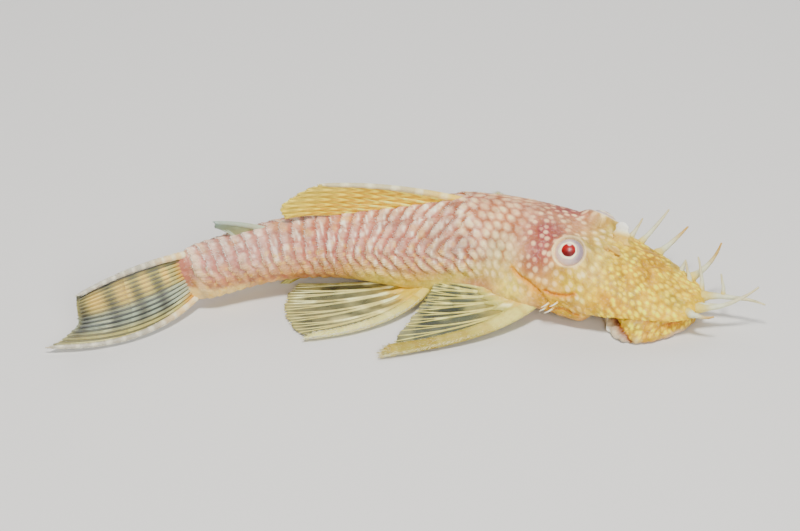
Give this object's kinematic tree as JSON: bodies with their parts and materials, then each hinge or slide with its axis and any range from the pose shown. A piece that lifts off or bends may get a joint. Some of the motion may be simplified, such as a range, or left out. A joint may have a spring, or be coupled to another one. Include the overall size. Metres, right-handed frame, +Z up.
{
  "type": "bristlenose pleco",
  "caption": "Small armoured sucker-mouthed catfish lying flat on its belly, head and tail curved to its right, fins spread, branching feelers on its snout; a still, life-size model.",
  "frame": {"origin": "centre of the bounding box in plan, on the floor plane", "axes": "+X along the length from tail to snout feelers, -Y the fish's right side as it lies (the inside of its curve), +Z up from the floor"},
  "size_m": [0.1024, 0.0482, 0.0163],
  "materials": {
    "skin": "satin, pink flank with pale plates and a golden spotted snout",
    "eye": "wet gloss, red pupil in a cream ring",
    "fin": "satin, cream rays in a thin grey web"
  },
  "bodies": {
    "root": {"snout": "skin", "head": "skin", "trunk": "skin", "tail": "skin", "mouth_disc": "skin", "opercle_left": "skin", "opercle_right": "skin", "eye_left": "eye", "eye_right": "eye", "dorsal_fin": "fin", "adipose_fin": "fin", "caudal_fin": "fin", "anal_fin": "fin", "pectoral_fin_left": "fin", "pectoral_fin_right": "fin", "pelvic_fin_left": "fin", "pelvic_fin_right": "fin"}
  },
  "joints": []
}
